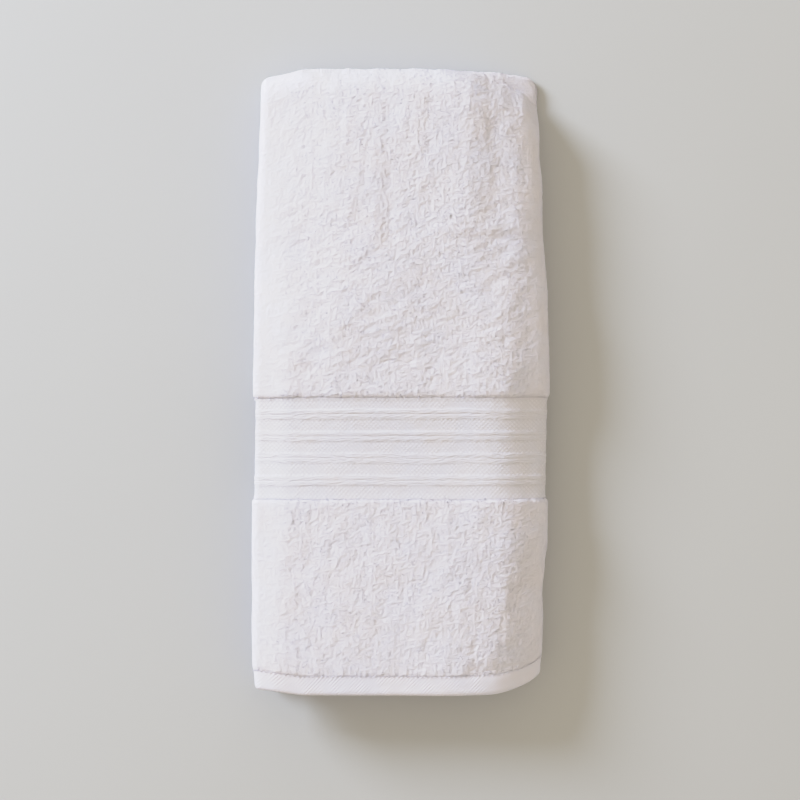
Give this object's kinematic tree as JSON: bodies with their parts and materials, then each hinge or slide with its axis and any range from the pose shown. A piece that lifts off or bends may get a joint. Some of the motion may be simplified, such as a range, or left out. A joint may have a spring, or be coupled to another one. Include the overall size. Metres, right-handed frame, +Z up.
{
  "type": "hand towel",
  "caption": "White terry hand towel folded in thirds along its length and then in half, lying flat, with a ribbed woven band and plain hems.",
  "frame": {"origin": "on the resting plane, under the middle of the folded towel's bounding box", "axes": "+Z up through the stack of layers, +Y along the folded towel towards the half fold, -Y towards its hems, +X towards the wider of the side folds"},
  "size_m": [0.1854, 0.39, 0.0389],
  "materials": {
    "white_cotton": "matt looped cotton pile, with flat woven bands and hems of the same yarn"
  },
  "bodies": {
    "root": {"towel": "white_cotton"}
  },
  "joints": []
}
